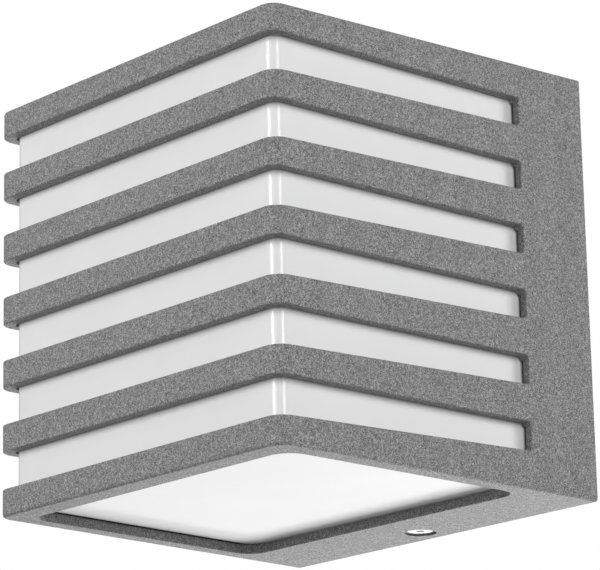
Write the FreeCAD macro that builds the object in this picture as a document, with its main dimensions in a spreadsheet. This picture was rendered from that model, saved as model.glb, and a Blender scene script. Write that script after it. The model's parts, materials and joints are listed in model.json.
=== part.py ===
import FreeCAD, Part
import math
import os
import Sketcher
from FreeCAD import Placement, Rotation, Vector

# Outdoor wall lantern: a louvred die-cast housing over an opal tub, on a steel wall plate that carries an E27 lamp.
# Frame: the wall is the plane y = 0, the lantern stands out towards -Y, +Z is up, and z = 0 is the middle of the
# front face. Distances "out" are measured from the wall, so a point that is "out" by d has y = -d.

doc = FreeCAD.newDocument("wall_lantern")
sheet = doc.addObject("Spreadsheet::Sheet", "Sizes")
sheet_rows = []
nodes = []


class Size:
    """A number together with the spreadsheet formula that gives it."""

    def __init__(self, value, formula):
        self.value = float(value)
        self.formula = formula

    def __add__(self, other):
        other = as_size(other)
        return Size(self.value + other.value, f"({self.formula} + {other.formula})")

    def __radd__(self, other):
        return as_size(other) + self

    def __sub__(self, other):
        other = as_size(other)
        return Size(self.value - other.value, f"({self.formula} - {other.formula})")

    def __rsub__(self, other):
        return as_size(other) - self

    def __mul__(self, other):
        other = as_size(other)
        return Size(self.value * other.value, f"({self.formula} * {other.formula})")

    def __rmul__(self, other):
        return as_size(other) * self

    def __truediv__(self, other):
        other = as_size(other)
        return Size(self.value / other.value, f"({self.formula} / {other.formula})")

    def __neg__(self):
        return 0 - self


def as_size(number):
    if isinstance(number, Size):
        return number
    return Size(number, f"({float(number)})")


def size(alias, value, meaning):
    """Adds one driving dimension to the sheet, in millimetres unless its meaning says otherwise."""
    sheet_rows.append(alias)
    row = len(sheet_rows)
    sheet.set(f"A{row}", meaning)
    sheet.set(f"B{row}", str(value))
    sheet.setAlias(f"B{row}", alias)
    return Size(value, f"Sizes.{alias}")


# Housing
depth = size("depth", 146, "wall to the front face")
front_width = size("front_width", 155, "width of the front face")
back_width = size("back_width", 160, "width at the wall")
front_height = size("front_height", 152, "height of the front face")
top_rise = size("top_rise", 1.4, "how much the top climbs towards the wall")
bottom_drop = size("bottom_drop", 2.7, "how much the bottom drops towards the wall")
corner_radius = size("corner_radius", 6, "upright front corners")
edge_radius = size("edge_radius", 1.2, "soft cast edges of the top and the underside")
slot_edge_radius = size("slot_edge_radius", 0.55, "soft cast edges of the bars")
wall_thickness = size("wall_thickness", 4.2, "bars, sides, front and top")
floor_thickness = size("floor_thickness", 3.5, "bottom plate")
bar_height = size("bar_height", 10, "height of a bar at the front")
slot_count = size("slot_count", 6, "number of slots, a count")
slot_end_out = size("slot_end_out", 31.7, "wall to the end of the slots")
slot_slope = size("slot_slope", 0.01447, "slot half height lost per millimetre towards the wall, a ratio")
slot_end_radius = size("slot_end_radius", 1.2, "corners at the slot ends")
slot_end_lip = size("slot_end_lip", 2.3, "thickness left at a slot's end, where its inner edge is cut away")
slot_end_relief = size("slot_end_relief", 2.0, "how far that cut runs back behind the lip")
rim_gap = size("rim_gap", 0.5, "air between the housing's rim and the wall")

# Aperture in the bottom plate
aperture_front_margin = size("aperture_front_margin", 9.7, "front face to the aperture")
aperture_side_margin = size("aperture_side_margin", 7.6, "side face to the aperture")
aperture_back_out = size("aperture_back_out", 30.9, "wall to the aperture")
aperture_radius = size("aperture_radius", 8, "corners of the aperture")

# Opal tub
tub_inset = size("tub_inset", 4.6, "outer face of the housing to the tub, front and sides")
tub_top_inset = size("tub_top_inset", 5.4, "top of the housing to the tub")
tub_floor_inset = size("tub_floor_inset", 3.9, "underside of the housing to the tub")
tub_thickness = size("tub_thickness", 2.5, "wall of the tub")
tub_back_out = size("tub_back_out", 28, "wall to the open back of the tub")
tub_radius = size("tub_radius", 4.1, "outer edges of the tub")
seal_thickness = size("seal_thickness", 0.3, "silicone ring between plate and tub")
seal_setback = size("seal_setback", 1.5, "edge of the aperture to the ring")
seal_width = size("seal_width", 1.3, "width of the ring")
ear_x = size("ear_x", 50, "centre line to an ear of the tub")
ear_out = size("ear_out", 21, "wall to the ear's screw")
ear_width = size("ear_width", 12, "width of an ear")
ear_thickness = size("ear_thickness", 2.5, "thickness of an ear")
boss_radius = size("boss_radius", 4, "screw boss under the top")
small_screw_radius = size("small_screw_radius", 1.5, "M3 screw")

# Retaining screw and clamp bar
screw_out = size("screw_out", 10.7, "wall to the retaining screw")
screw_radius = size("screw_radius", 2.5, "M5 screw")
screw_head_radius = size("screw_head_radius", 5, "countersunk head")
head_edge = size("head_edge", 0.3, "chamfer round the head")
screw_sink = size("screw_sink", 0.65, "how far the head sits above the underside")
screw_ring_radius = size("screw_ring_radius", 5.9, "recess round the head")
screw_length = size("screw_length", 16, "whole length of the screw")
socket_flats = size("socket_flats", 3, "hexagon socket across flats")
running_gap = size("running_gap", 0.08, "radial clearance of a turning part")
pad_radius = size("pad_radius", 7.4, "raised pad round the screw")
pad_top = size("pad_top", -73.6, "height of the pad's top")
clamp_length = size("clamp_length", 30, "length of the clamp bar")
clamp_width = size("clamp_width", 9, "width of the clamp bar")
clamp_thickness = size("clamp_thickness", 4, "thickness of the clamp bar")
post_width = size("post_width", 2.5, "posts that keep the clamp bar from turning")
post_top = size("post_top", -62, "height of the posts' tops")

# Wall plate
plate_thickness = size("plate_thickness", 2, "steel plate")
gasket_thickness = size("gasket_thickness", 3, "foam behind the plate")
plate_half_width = size("plate_half_width", 74.5, "centre line to the side flange")
plate_top = size("plate_top", 72.7, "height of the top flange")
plate_bottom = size("plate_bottom", -73.5, "height of the tab's underside")
flange_out = size("flange_out", 13, "wall to the flange's edge")
flange_thickness = size("flange_thickness", 1.6, "folded flange")
tab_half_width = size("tab_half_width", 12, "centre line to the tab's edge")
tab_out = size("tab_out", 20, "wall to the tab's edge")
notch_radius = size("notch_radius", 3, "notch that the screw slides into")
wall_screw_spacing = size("wall_screw_spacing", 100, "between the two wall screws")
wall_slot_length = size("wall_slot_length", 10, "wall screw slot, end to end")
wall_slot_radius = size("wall_slot_radius", 2.5, "half the slot's width")

# Cable inlet and terminals
inlet_z = size("inlet_z", -40, "height of the cable inlet")
inlet_bore = size("inlet_bore", 4.5, "radius of the grommet's bore")
inlet_neck = size("inlet_neck", 6.5, "radius of the grommet's neck")
inlet_flange = size("inlet_flange", 9.5, "radius of the grommet's flange")
terminal_z = size("terminal_z", 44, "height of the terminal block")
terminal_pitch = size("terminal_pitch", 10, "between poles")
terminal_height = size("terminal_height", 16, "terminal block, up and down")
terminal_depth = size("terminal_depth", 15, "terminal block, out from the plate")
insert_radius = size("insert_radius", 3.2, "brass insert")
wire_hole = size("wire_hole", 1.9, "bore of a brass insert")
lead_radius = size("lead_radius", 1.1, "inner lead")
earth_x = size("earth_x", 46, "centre line to the earth screw")
earth_z = size("earth_z", 20, "height of the earth screw")

# Lamp holder
bracket_out = size("bracket_out", 18, "wall to the bracket's face")
bracket_half_width = size("bracket_half_width", 24, "centre line to the bracket's leg")
bracket_height = size("bracket_height", 24, "bracket, up and down")
bracket_sheet = size("bracket_sheet", 1.5, "bracket's steel")
rivet_x = size("rivet_x", 30, "centre line to a rivet")
holder_radius = size("holder_radius", 20, "outside of the holder")
holder_front_out = size("holder_front_out", 59, "wall to the holder's rim")
holder_floor_out = size("holder_floor_out", 36, "wall to the holder's floor")
holder_floor = size("holder_floor", 6, "thickness of the holder's floor")
holder_back_out = size("holder_back_out", 22, "wall to the holder's back")
chamber_radius = size("chamber_radius", 14, "wiring chamber")
holder_screw_x = size("holder_screw_x", 17, "centre line to a holder screw")
shell_thickness = size("shell_thickness", 0.45, "brass screw shell")
contact_pin = size("contact_pin", 1.2, "radius of the contact pins")
shell_pin_x = size("shell_pin_x", 10, "centre line to the shell's pin")

# Lamp
cap_radius = size("cap_radius", 13.25, "crest of the E27 cap's thread")
cap_front_out = size("cap_front_out", 61, "wall to the cap's edge")
cap_back_out = size("cap_back_out", 42, "wall to the cap's back")
tip_out = size("tip_out", 37.5, "wall to the lamp's contact")
tip_radius = size("tip_radius", 4.8, "lamp's contact")
globe_radius = size("globe_radius", 22.5, "lamp's globe")
globe_end_out = size("globe_end_out", 116, "wall to the end of the globe")
globe_start_out = size("globe_start_out", 85, "wall to the globe's edge")
globe_thickness = size("globe_thickness", 1.0, "wall of the globe")

doc.recompute()

slot_height = (front_height - (slot_count + 1) * bar_height) / slot_count
slot_pitch = slot_height + bar_height
half_front = front_height / 2


def half_width(out):
    """Outer half width of the housing at a distance out from the wall."""
    return back_width / 2 - (back_width - front_width) / 2 * out / depth


def top_at(out):
    return half_front + top_rise - top_rise * out / depth


def bottom_at(out):
    return top_rise * 0 - half_front - bottom_drop + bottom_drop * out / depth


def bind(thing, path, number):
    """Sets one property and ties it to the sheet."""
    number = as_size(number)
    thing.setExpression(path, number.formula)


def node(label, thing):
    thing.Label = label
    nodes.append(thing)
    return thing


# Sketches -----------------------------------------------------------------------------------------------------------


def new_body(name):
    return doc.addObject("PartDesign::Body", name + "_body")


def new_sketch(body, role, offset=0):
    """A sketch on one of the body's origin planes, moved along the plane's normal."""
    sketch = body.newObject("Sketcher::SketchObject", "outline")
    plane = next(f for f in body.Origin.OriginFeatures if f.Role == role)
    sketch.AttachmentSupport = [(plane, "")]
    sketch.MapMode = "FlatFace"
    bind(sketch, "AttachmentOffset.Base.z", offset)
    return sketch


def constrain_point(sketch, geometry, end, x, y):
    for kind, coordinate, axis in (("DistanceX", x, -2), ("DistanceY", y, -1)):
        coordinate = as_size(coordinate)
        if coordinate.value == 0:
            sketch.addConstraint(Sketcher.Constraint("PointOnObject", geometry, end, axis))
            continue
        index = sketch.addConstraint(Sketcher.Constraint(kind, -1, 1, geometry, end, coordinate.value))
        name = f"{kind}_{geometry}_{end}"
        sketch.renameConstraint(index, name)
        sketch.setExpression(f"Constraints.{name}", coordinate.formula)


def arc_between(start, end, radius):
    """The short arc from start to end that turns left for a positive radius and right for a negative one."""
    chord = end - start
    reach = abs(radius)
    height = math.sqrt(max(reach**2 - (chord.Length / 2) ** 2, 0))
    normal = Vector(-chord.y, chord.x, 0)
    normal.normalize()
    middle = (start + end) / 2 - normal * math.copysign(reach - height, radius)
    return Part.Arc(start, middle, end)


def draw(sketch, corners):
    """A closed outline. A corner is (x, y), or (x, y, radius) where the run that ends there is an arc."""
    corners = [tuple(as_size(number) for number in corner) for corner in corners]
    points = [Vector(corner[0].value, corner[1].value, 0) for corner in corners]
    ends = []
    for index, corner in enumerate(corners):
        start = points[index - 1]
        end = points[index]
        if len(corner) == 2:
            geometry = sketch.addGeometry(Part.LineSegment(start, end))
            ends.append((geometry, 1, 2))
            continue
        radius = corner[2]
        if radius.value > 0:
            geometry = sketch.addGeometry(arc_between(start, end, radius.value))
            ends.append((geometry, 1, 2))
        else:
            geometry = sketch.addGeometry(arc_between(end, start, -radius.value))
            ends.append((geometry, 2, 1))
            radius = -radius
        name = f"Radius_{geometry}"
        constraint = sketch.addConstraint(Sketcher.Constraint("Radius", geometry, radius.value))
        sketch.renameConstraint(constraint, name)
        sketch.setExpression(f"Constraints.{name}", radius.formula)
    for index, (geometry, first, last) in enumerate(ends):
        before = ends[index - 1]
        sketch.addConstraint(Sketcher.Constraint("Coincident", before[0], before[2], geometry, first))
        constrain_point(sketch, geometry, last, corners[index][0], corners[index][1])


def rectangle(left, right, low, high):
    return [(left, low), (right, low), (right, high), (left, high)]


def slot_outline(x, y, half_length, radius):
    """A round-ended slot along the sketch's first axis."""
    flat = half_length - radius
    return [
        (x - flat, y - radius),
        (x + flat, y - radius),
        (x + half_length, y, radius),
        (x + flat, y + radius, radius),
        (x - flat, y + radius),
        (x - half_length, y, radius),
        (x - flat, y - radius, radius),
    ][1:]


def draw_circle(sketch, x, y, radius):
    x, y, radius = as_size(x), as_size(y), as_size(radius)
    circle = Part.Circle(Vector(x.value, y.value, 0), Vector(0, 0, 1), radius.value)
    geometry = sketch.addGeometry(circle)
    constrain_point(sketch, geometry, 3, x, y)
    index = sketch.addConstraint(Sketcher.Constraint("Radius", geometry, radius.value))
    sketch.renameConstraint(index, f"Radius_{geometry}")
    sketch.setExpression(f"Constraints.Radius_{geometry}", radius.formula)


# Features -----------------------------------------------------------------------------------------------------------


def feature(body, kind, sketch):
    thing = body.newObject("PartDesign::" + kind, kind.lower())
    thing.Profile = sketch
    return thing


def pad(body, sketch, length, symmetric=False):
    thing = feature(body, "Pad", sketch)
    if symmetric:
        thing.SideType = "Symmetric"
    bind(thing, "Length", length)
    doc.recompute()
    return thing


def pocket(body, sketch, length, symmetric=False, reverse=False):
    """Cuts against the sketch's normal, or along it when reversed, and makes sure that something was cut."""
    before = body.Shape.Volume
    thing = feature(body, "Pocket", sketch)
    if symmetric:
        thing.SideType = "Symmetric"
    thing.Reversed = reverse
    bind(thing, "Length", length)
    doc.recompute()
    if body.Shape.Volume >= before:
        raise RuntimeError("a pocket in " + body.Name + " cuts nothing")
    return thing


def loft(body, kind, first, last):
    thing = feature(body, kind, first)
    thing.Sections = [last]
    doc.recompute()
    return thing


def turn(body, kind, sketch):
    """Turns the sketch once round its own upright axis."""
    thing = feature(body, kind, sketch)
    thing.ReferenceAxis = (sketch, ["V_Axis"])
    thing.Angle = 360
    doc.recompute()
    return thing


def round_edges(body, radius, wanted):
    """Rounds every edge of the body that the test accepts."""
    base = body.Tip
    names = [f"Edge{i + 1}" for i, edge in enumerate(base.Shape.Edges) if wanted(edge)]
    if not names:
        raise RuntimeError("no edge to round in " + body.Name)
    thing = body.newObject("PartDesign::Fillet", "fillet")
    thing.Base = (base, names)
    bind(thing, "Radius", radius)
    doc.recompute()
    return thing


def runs_along(edge, direction):
    first = edge.valueAt(edge.FirstParameter)
    last = edge.valueAt(edge.LastParameter)
    run = last - first
    return run.Length > 1e-6 and abs(run.normalize().dot(direction)) > 0.98


def turned(label, role, corners, x=0, y=0, z=0):
    """A piece of revolution about Z (role XZ_Plane) or about Y (role XY_Plane), from (radius, along) corners."""
    body = new_body(label)
    sketch = new_sketch(body, role)
    draw(sketch, corners)
    turn(body, "Revolution", sketch)
    for axis, number in (("x", x), ("y", y), ("z", z)):
        bind(body, "Placement.Base." + axis, number)
    return body


# Simple solids ------------------------------------------------------------------------------------------------------

AIM = {
    "+X": Rotation(Vector(0, 1, 0), 90),
    "+Y": Rotation(Vector(1, 0, 0), -90),
    "-Y": Rotation(Vector(1, 0, 0), 90),
    "+Z": Rotation(),
}


def put(thing, x, y, z):
    for axis, number in (("x", x), ("y", y), ("z", z)):
        bind(thing, "Placement.Base." + axis, number)


def box(x_range, y_range, z_range):
    thing = doc.addObject("Part::Box", "box")
    sides = (("Length", x_range), ("Width", y_range), ("Height", z_range))
    for side, (low, high) in sides:
        bind(thing, side, high - as_size(low))
    put(thing, x_range[0], y_range[0], z_range[0])
    return thing


def cylinder(radius, length, aim, x, y, z):
    thing = doc.addObject("Part::Cylinder", "cylinder")
    thing.Placement = Placement(Vector(), AIM[aim])
    bind(thing, "Radius", radius)
    bind(thing, "Height", length)
    put(thing, x, y, z)
    return thing


def cone(radius_1, radius_2, length, aim, x, y, z):
    thing = doc.addObject("Part::Cone", "cone")
    thing.Placement = Placement(Vector(), AIM[aim])
    bind(thing, "Radius1", radius_1)
    bind(thing, "Radius2", radius_2)
    bind(thing, "Height", length)
    put(thing, x, y, z)
    return thing


def fuse(*pieces):
    thing = doc.addObject("Part::MultiFuse", "fuse")
    thing.Shapes = list(pieces)
    return thing


def cut(base, *tools):
    tool = tools[0] if len(tools) == 1 else fuse(*tools)
    thing = doc.addObject("Part::Cut", "cut")
    thing.Base = base
    thing.Tool = tool
    return thing


def group(*pieces):
    """Several identical fasteners that share one node."""
    thing = doc.addObject("Part::Compound", "group")
    thing.Links = list(pieces)
    return thing


def pan_screw(radius, head_radius, head_height, length, aim, x, y, z):
    """A pan-head screw with a slot; (x, y, z) is the middle of the head's outer face and aim points to its tip."""
    step = AIM[aim].multVec(Vector(0, 0, 1))

    def along(distance):
        distance = as_size(distance)
        return x + distance * step.x, y + distance * step.y, z + distance * step.z

    head = cylinder(head_radius, head_height, aim, x, y, z)
    shank = cylinder(radius, length, aim, *along(0))
    if abs(step.z) > 0.5:
        slot = box((x - head_radius, x + head_radius), (y - 0.3, y + 0.3), (z - 0.1, z + 0.8))
    else:
        low, high = sorted((0.8 * step.y, -0.1 * step.y))
        slot = box((x - head_radius, x + head_radius), (y + low, y + high), (z - 0.3, z + 0.3))
    return cut(fuse(head, shank), slot)


# Housing ------------------------------------------------------------------------------------------------------------


def housing_section(body, out, side, top, bottom):
    """A section of the drafted housing, moved in by the given wall thicknesses."""
    sketch = new_sketch(body, "XZ_Plane", out)
    reach = half_width(out) - side
    draw(sketch, rectangle(-reach, reach, bottom_at(out) + bottom, top_at(out) - top))
    return sketch


def on_outside(point):
    side = abs(abs(point.x) - half_width(-point.y).value) < 0.03
    front = abs(point.y + depth.value) < 0.03
    return side or front


def make_housing():
    body = new_body("louvre_housing")
    outside = [housing_section(body, out, 0, 0, 0) for out in (rim_gap, depth)]
    loft(body, "AdditiveLoft", outside[0], outside[1])
    upright = Vector(0, 0, 1)
    front = -depth.value
    round_edges(body, corner_radius, lambda e: runs_along(e, upright) and e.CenterOfMass.y < front + 1)

    inside_out = depth - wall_thickness
    inside = [
        housing_section(body, out, wall_thickness, wall_thickness, floor_thickness)
        for out in (rim_gap - 1, inside_out)
    ]
    loft(body, "SubtractiveLoft", inside[0], inside[1])
    inner = corner_radius - wall_thickness + 0.7
    deep = -inside_out.value

    def inner_corner(edge):
        return runs_along(edge, upright) and abs(edge.CenterOfMass.y - deep) < 0.1

    round_edges(body, inner, inner_corner)

    # Six slots cut by one drafted wedge each, right through from side to side
    sketch = new_sketch(body, "YZ_Plane")
    reach = depth + 5
    radius = slot_end_radius
    for index in range(int(slot_count.value)):
        middle = half_front - bar_height - slot_height / 2 - index * slot_pitch
        wide = slot_height / 2 + slot_slope * 5
        narrow = slot_height / 2 - slot_slope * (depth - slot_end_out)
        draw(
            sketch,
            [
                (-reach, middle - wide),
                (-slot_end_out - radius, middle - narrow),
                (-slot_end_out, middle - narrow + radius, radius),
                (-slot_end_out, middle + narrow - radius),
                (-slot_end_out - radius, middle + narrow, radius),
                (-reach, middle + wide),
            ],
        )
    pocket(body, sketch, back_width + 10, symmetric=True)

    # The inner edge of every slot end slopes away behind a thin lip
    lip = half_width(slot_end_out) - slot_end_lip
    inner_face = half_width(slot_end_out) - wall_thickness - 1
    edge_out = slot_end_out + 0.5
    relief_out = slot_end_out - slot_end_relief
    straight = slot_height - slot_slope * (depth - slot_end_out) * 2 - slot_end_radius * 2
    for index in range(int(slot_count.value)):
        sketch = new_sketch(body, "XY_Plane", half_front - bar_height - slot_height / 2 - index * slot_pitch)
        for side in (-1, 1):
            draw(
                sketch,
                [
                    (side * lip, -slot_end_out),
                    (side * lip, -edge_out),
                    (side * inner_face, -edge_out),
                    (side * inner_face, -relief_out),
                ],
            )
        pocket(body, sketch, straight, symmetric=True)

    # The aperture in the bottom plate follows the drafted sides
    front_out = depth - aperture_front_margin
    sketch = new_sketch(body, "XY_Plane", bottom_at(0) - 1)
    near = half_width(front_out) - aperture_side_margin
    far = half_width(aperture_back_out) - aperture_side_margin
    draw(sketch, [(-near, -front_out), (near, -front_out), (far, -aperture_back_out), (-far, -aperture_back_out)])
    pocket(body, sketch, floor_thickness + bottom_drop + 4, reverse=True)
    rim_top = bottom_at(depth).value + floor_thickness.value + 1

    def aperture_corner(edge):
        middle = edge.CenterOfMass
        inside_rim = abs(middle.x) < near.value + 3 and -front_out.value - 1 < middle.y < -25
        return runs_along(edge, upright) and inside_rim and middle.z < rim_top and edge.Length < 6

    round_edges(body, aperture_radius, aperture_corner)

    # Bosses that hang from the top and hold the tub's ears
    boss_bottom = ear_top()
    sketch = new_sketch(body, "XY_Plane", boss_bottom)
    for side in (-1, 1):
        draw_circle(sketch, side * ear_x, -ear_out, boss_radius)
    pad(body, sketch, top_at(ear_out) - boss_bottom - 2)
    sketch = new_sketch(body, "XY_Plane", boss_bottom - 1)
    for side in (-1, 1):
        draw_circle(sketch, side * ear_x, -ear_out, small_screw_radius)
    pocket(body, sketch, 6.4, reverse=True)

    # Lip that keeps the tub's lower edge, and posts that keep the clamp bar from turning
    sketch = new_sketch(body, "XY_Plane", bottom_at(tub_back_out) + floor_thickness - 1)
    draw(sketch, rectangle(as_size(-40), as_size(40), -tub_back_out + 0.5, -tub_back_out + 2.5))
    pad(body, sketch, 5)
    post_bottom = bottom_at(screw_out) + floor_thickness - 1
    sketch = new_sketch(body, "XY_Plane", post_bottom)
    post_in = clamp_length / 2 + 0.3
    post_half = clamp_width / 2
    for side in (-1, 1):
        ends = sorted((side * post_in, side * (post_in + post_width)), key=lambda number: number.value)
        draw(sketch, rectangle(ends[0], ends[1], -screw_out - post_half, -screw_out + post_half))
    pad(body, sketch, post_top - post_bottom)

    # Raised pad round the screw, then the countersunk hole through it
    sketch = new_sketch(body, "XY_Plane", post_bottom)
    draw_circle(sketch, 0, -screw_out, pad_radius)
    pad(body, sketch, pad_top - post_bottom)
    head = bottom_at(screw_out) + screw_sink
    hole = screw_radius + running_gap
    seat = screw_head_radius + running_gap
    sketch = new_sketch(body, "XZ_Plane", screw_out)
    draw(
        sketch,
        [
            (0, bottom_at(0) - 1),
            (screw_ring_radius, bottom_at(0) - 1),
            (screw_ring_radius, head),
            (seat, head),
            (seat, head + head_edge),
            (hole, head + head_edge + screw_head_radius - screw_radius),
            (hole, pad_top + 1),
            (0, pad_top + 1),
        ],
    )
    turn(body, "Groove", sketch)

    # Soft edges on everything that faces out, except the smooth seams of the upright corners and the rear rim
    slot_top = half_front.value - bar_height.value + 1

    def soft_edge(edge):
        ends = [vertex.Point for vertex in edge.Vertexes]
        if not ends or not all(on_outside(point) for point in ends):
            return False
        middle = edge.CenterOfMass
        at_rim = abs(middle.y + rim_gap.value) < 0.1
        at_seam = runs_along(edge, upright) and middle.y < -slot_end_out.value - 1
        return not at_rim and not at_seam

    round_edges(body, slot_edge_radius, lambda e: abs(e.CenterOfMass.z) < slot_top and soft_edge(e))
    round_edges(body, edge_radius, lambda e: abs(e.CenterOfMass.z) > slot_top and soft_edge(e))
    return node("louvre_housing", body)


def ear_top():
    """Height at which the tub's ears meet the bosses."""
    return top_at(ear_out) - tub_top_inset - 0.6


def make_diffuser():
    body = new_body("diffuser")
    front_out = depth - tub_inset
    outs = (tub_back_out, front_out)
    outside = [housing_section(body, out, tub_inset, tub_top_inset, tub_floor_inset) for out in outs]
    loft(body, "AdditiveLoft", outside[0], outside[1])
    back = -tub_back_out.value
    round_edges(body, tub_radius, lambda e: abs(e.CenterOfMass.y - back) > 1)
    wall = tub_thickness
    insets = (tub_inset + wall, tub_top_inset + wall, tub_floor_inset + wall)
    outs = (tub_back_out - 1, front_out - wall)
    inside = [housing_section(body, out, *insets) for out in outs]
    loft(body, "SubtractiveLoft", inside[0], inside[1])

    # Ears that stick out of the open back, under the bosses
    ear_end = ear_out - ear_width / 2
    sketch = new_sketch(body, "XY_Plane", ear_top() - ear_thickness)
    for side in (-1, 1):
        middle = side * ear_x
        half = ear_width / 2
        draw(sketch, rectangle(middle - half, middle + half, -tub_back_out - 2, -ear_end))
    pad(body, sketch, ear_thickness)
    sketch = new_sketch(body, "XY_Plane", ear_top() + 1)
    for side in (-1, 1):
        draw_circle(sketch, side * ear_x, -ear_out, small_screw_radius + 0.2)
    pocket(body, sketch, ear_thickness + 2)
    return node("diffuser", body)


def make_seal():
    """Silicone ring on the sloping bottom plate, round the aperture."""
    body = new_body("diffuser_seal")
    front_out = depth - aperture_front_margin
    near = half_width(front_out) - aperture_side_margin
    far = half_width(aperture_back_out) - aperture_side_margin
    sketch = new_sketch(body, "XY_Plane")
    outer = -(tub_back_out + 1)
    inner = -(tub_back_out + 1) - 1.4
    reach = seal_setback + seal_width
    front = depth - wall_thickness - 1
    draw(sketch, [(-near - reach, -front), (near + reach, -front), (far + reach, outer), (-far - reach, outer)])
    draw(
        sketch,
        [
            (-near - seal_setback, -front + seal_width),
            (near + seal_setback, -front + seal_width),
            (far + seal_setback, inner),
            (-far - seal_setback, inner),
        ],
    )
    pad(body, sketch, seal_thickness)
    tilt = math.degrees(math.atan(bottom_drop.value / depth.value))
    body.Placement = Placement(Vector(), Rotation(Vector(1, 0, 0), -tilt))
    put(body, 0, 0, bottom_at(0) + floor_thickness + 0.05)
    return node("diffuser_seal", body)


def make_tub_screws():
    under = ear_top() - ear_thickness
    screws = []
    for side in (-1, 1):
        head = under - 2
        screws.append(pan_screw(small_screw_radius - 0.05, 2.8, as_size(2), 9.5, "+Z", side * ear_x, -ear_out, head))
    return node("diffuser_screws", group(*screws))


def make_retaining_screw():
    head = bottom_at(screw_out) + screw_sink
    body = new_body("retaining_screw")
    sketch = new_sketch(body, "XZ_Plane")
    draw(
        sketch,
        [
            (0, head),
            (screw_head_radius - head_edge, head),
            (screw_head_radius, head + head_edge),
            (screw_radius, head + head_edge + screw_head_radius - screw_radius),
            (screw_radius, head + screw_length - 0.6),
            (screw_radius - 0.6, head + screw_length),
            (0, head + screw_length),
        ],
    )
    turn(body, "Revolution", sketch)
    sketch = new_sketch(body, "XY_Plane", head)
    across = socket_flats / math.sqrt(3)
    corners = []
    for index in range(6):
        angle = math.radians(60 * index)
        corners.append((across * round(math.cos(angle), 9), across * round(math.sin(angle), 9)))
    draw(sketch, corners)
    pocket(body, sketch, 2, reverse=True)
    put(body, 0, -screw_out, 0)
    return node("retaining_screw", body)


def make_clamp_bar():
    low = plate_bottom + plate_thickness + 0.1
    half = clamp_length / 2
    side = clamp_width / 2
    bar = box((-half, half), (-screw_out - side, -screw_out + side), (low, low + clamp_thickness))
    hole = cylinder(screw_radius + running_gap, clamp_thickness + 2, "+Z", as_size(0), -screw_out, low - 1)
    return node("clamp_bar", cut(bar, hole))


# Wall plate ---------------------------------------------------------------------------------------------------------


def wall_openings(sketch):
    """Screw slots and the cable inlet, shared by the plate and its gasket. Sketch y is world z."""
    half = wall_slot_length / 2
    for side in (-1, 1):
        middle = side * wall_screw_spacing / 2
        draw(sketch, slot_outline(middle, as_size(0), half, wall_slot_radius))
    draw_circle(sketch, 0, inlet_z, inlet_neck)


def make_wall_plate():
    body = new_body("wall_plate")
    back = gasket_thickness
    front = gasket_thickness + plate_thickness
    sketch = new_sketch(body, "XZ_Plane", back)
    draw(sketch, rectangle(-plate_half_width, plate_half_width, plate_bottom, plate_top))
    pad(body, sketch, plate_thickness)
    inner = plate_half_width - flange_thickness
    sketch = new_sketch(body, "XZ_Plane", back)
    draw(
        sketch,
        [
            (-plate_half_width, plate_bottom + 12),
            (-inner, plate_bottom + 12),
            (-inner, plate_top - flange_thickness),
            (inner, plate_top - flange_thickness),
            (inner, plate_bottom + 12),
            (plate_half_width, plate_bottom + 12),
            (plate_half_width, plate_top),
            (-plate_half_width, plate_top),
        ],
    )
    pad(body, sketch, flange_out - back)
    sketch = new_sketch(body, "XY_Plane", plate_bottom)
    notch = notch_radius
    draw(
        sketch,
        [
            (-tab_half_width, -back),
            (-tab_half_width, -tab_out),
            (-notch, -tab_out),
            (-notch, -screw_out),
            (0, -screw_out + notch, -notch),
            (notch, -screw_out, -notch),
            (notch, -tab_out),
            (tab_half_width, -tab_out),
            (tab_half_width, -back),
        ],
    )
    pad(body, sketch, plate_thickness)
    sketch = new_sketch(body, "XZ_Plane", back - 1)
    wall_openings(sketch)
    for side in (-1, 1):
        draw_circle(sketch, side * rivet_x, 0, 1.6)
    draw_circle(sketch, terminal_pitch / 2, terminal_z, 1.6)
    draw_circle(sketch, earth_x, earth_z, 2.0)
    pocket(body, sketch, plate_thickness + 2, reverse=True)
    upright = Vector(0, 1, 0)
    low = plate_bottom.value

    def plate_corner(edge):
        return runs_along(edge, upright) and edge.Length < front.value and abs(edge.CenterOfMass.z - low) < 0.1 \
            and abs(edge.CenterOfMass.x) > 70

    round_edges(body, as_size(4), plate_corner)
    return node("wall_plate", body)


def make_wall_gasket():
    body = new_body("wall_gasket")
    sketch = new_sketch(body, "XZ_Plane")
    inset = 1.0
    draw(
        sketch,
        rectangle(-plate_half_width + inset, plate_half_width - inset, plate_bottom + inset, plate_top - inset),
    )
    wall_openings(sketch)
    pad(body, sketch, gasket_thickness)
    return node("wall_gasket", body)


def make_grommet():
    back = 0
    plate_front = gasket_thickness + plate_thickness
    neck = inlet_neck - 0.05
    corners = [
        (inlet_bore, -back),
        (neck, -back),
        (neck, -plate_front),
        (inlet_flange, -plate_front),
        (inlet_flange, -plate_front - 1.6),
        (neck, -plate_front - 3.2),
        (inlet_bore, -plate_front - 3.2),
    ]
    return node("cable_grommet", turned("cable_grommet", "XY_Plane", corners, z=inlet_z))


# Terminals ----------------------------------------------------------------------------------------------------------

poles = (-1, 0, 1)


def terminal_axis_out():
    return gasket_thickness + plate_thickness + terminal_depth / 2


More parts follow.
